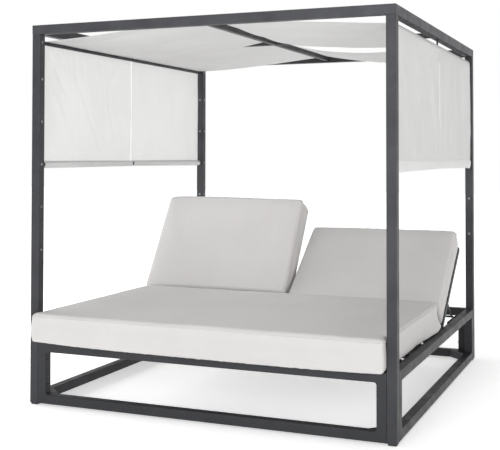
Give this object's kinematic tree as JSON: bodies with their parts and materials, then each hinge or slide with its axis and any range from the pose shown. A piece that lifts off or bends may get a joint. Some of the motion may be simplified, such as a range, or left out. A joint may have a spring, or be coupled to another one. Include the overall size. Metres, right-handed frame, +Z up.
{
  "type": "outdoor daybed with canopy",
  "caption": "Square outdoor daybed: tube frame with corner posts and canopy beams, seat cushion, two adjustable backrests on stays, and hanging cloth strips over roof and sides.",
  "frame": {"origin": "on the floor, under the middle of the whole daybed", "axes": "+Z up, +Y from the foot end towards the backrests, +X to the right when seen from the foot end"},
  "size_m": [1.97, 2.1157, 2],
  "materials": {
    "powder_coated_aluminium": "fine-textured matt anthracite powder coat",
    "bare_steel": "satin",
    "black_plastic": "matt",
    "cushion_fabric": "off-white woven outdoor fabric",
    "canopy_fabric": "thin off-white woven cloth"
  },
  "bodies": {
    "frame": {"back_support_beam": "powder_coated_aluminium", "cross_roof_bar": "powder_coated_aluminium", "front_base_loop": "powder_coated_aluminium", "front_canopy_cloth": "canopy_fabric", "front_left_foot_glide": "black_plastic", "front_left_gusset": "powder_coated_aluminium", "front_left_post": "powder_coated_aluminium", "front_right_foot_glide": "black_plastic", "front_right_gusset": "powder_coated_aluminium", "front_right_post": "powder_coated_aluminium", "front_roof_bar": "powder_coated_aluminium", "front_top_beam": "powder_coated_aluminium", "hinge_crossbeam": "powder_coated_aluminium", "left_base_loop": "powder_coated_aluminium", "left_bottom_rod": "powder_coated_aluminium", "left_inner_hinge_pin": "bare_steel", "left_inner_rack": "powder_coated_aluminium", "left_outer_hinge_pin": "bare_steel", "left_outer_rack": "powder_coated_aluminium", "left_rod_hanger": "powder_coated_aluminium", "left_slat_ledge": "powder_coated_aluminium", "left_top_beam": "powder_coated_aluminium", "left_top_rod": "powder_coated_aluminium", "rear_base_loop": "powder_coated_aluminium", "rear_canopy_cloth": "canopy_fabric", "rear_left_foot_glide": "black_plastic", "rear_left_gusset": "powder_coated_aluminium", "rear_left_post": "powder_coated_aluminium", "rear_right_foot_glide": "black_plastic", "rear_right_gusset": "powder_coated_aluminium", "rear_right_post": "powder_coated_aluminium", "rear_roof_bar": "powder_coated_aluminium", "rear_top_beam": "powder_coated_aluminium", "right_base_loop": "powder_coated_aluminium", "right_bottom_rod": "powder_coated_aluminium", "right_inner_hinge_pin": "bare_steel", "right_inner_rack": "powder_coated_aluminium", "right_outer_hinge_pin": "bare_steel", "right_outer_rack": "powder_coated_aluminium", "right_rod_hanger": "powder_coated_aluminium", "right_slat_ledge": "powder_coated_aluminium", "right_top_beam": "powder_coated_aluminium", "right_top_rod": "powder_coated_aluminium", "seat_cushion": "cushion_fabric", "seat_slat_1": "powder_coated_aluminium", "seat_slat_2": "powder_coated_aluminium", "seat_slat_3": "powder_coated_aluminium", "seat_slat_4": "powder_coated_aluminium", "seat_slat_5": "powder_coated_aluminium", "seat_slat_6": "powder_coated_aluminium", "seat_slat_7": "powder_coated_aluminium", "seat_support_beam": "powder_coated_aluminium"},
    "left_backrest": {"left_back_frame": "powder_coated_aluminium"},
    "right_backrest": {"right_back_frame": "powder_coated_aluminium"},
    "left_back_cushion": {"left_back_cushion": "cushion_fabric"},
    "right_back_cushion": {"right_back_cushion": "cushion_fabric"},
    "left_stay": {"left_stay": "bare_steel"},
    "right_stay": {"right_stay": "bare_steel"}
  },
  "joints": [
    {"name": "left_backrest_hinge", "type": "hinge", "parent": "frame", "child": "left_backrest", "pos_m": [-0.471, 0.277, 0.317], "axis": [1, 0, 0], "range_deg": [-57.5, 0]},
    {"name": "left_cushion_slide", "type": "slide", "parent": "left_backrest", "child": "left_back_cushion", "axis": [0, 0.5373, 0.8434], "range_m": [-0.1805, 0.0005]},
    {"name": "left_stay_hinge", "type": "hinge", "parent": "left_backrest", "child": "left_stay", "pos_m": [-0.471, 0.42744, 0.55315], "axis": [1, 0, 0], "range_deg": [-0.5, 115.5]},
    {"name": "right_backrest_hinge", "type": "hinge", "parent": "frame", "child": "right_backrest", "pos_m": [0.471, 0.277, 0.317], "axis": [1, 0, 0], "range_deg": [-37, 20.5]},
    {"name": "right_cushion_slide", "type": "slide", "parent": "right_backrest", "child": "right_back_cushion", "axis": [0, 0.7986, 0.6018], "range_m": [-0.1005, 0.0559]},
    {"name": "right_stay_hinge", "type": "hinge", "parent": "right_backrest", "child": "right_stay", "pos_m": [0.471, 0.50062, 0.48551], "axis": [1, 0, 0], "range_deg": [-41.5, 74.5]}
  ],
  "couplings": [
    {"joint": "left_cushion_slide", "follows": "left_backrest_hinge", "m_per_rad": 0.17936},
    {"joint": "left_stay_hinge", "follows": "left_backrest_hinge", "ratio": -2},
    {"joint": "right_cushion_slide", "follows": "right_backrest_hinge", "m_per_rad": 0.15485},
    {"joint": "right_stay_hinge", "follows": "right_backrest_hinge", "ratio": -2}
  ]
}
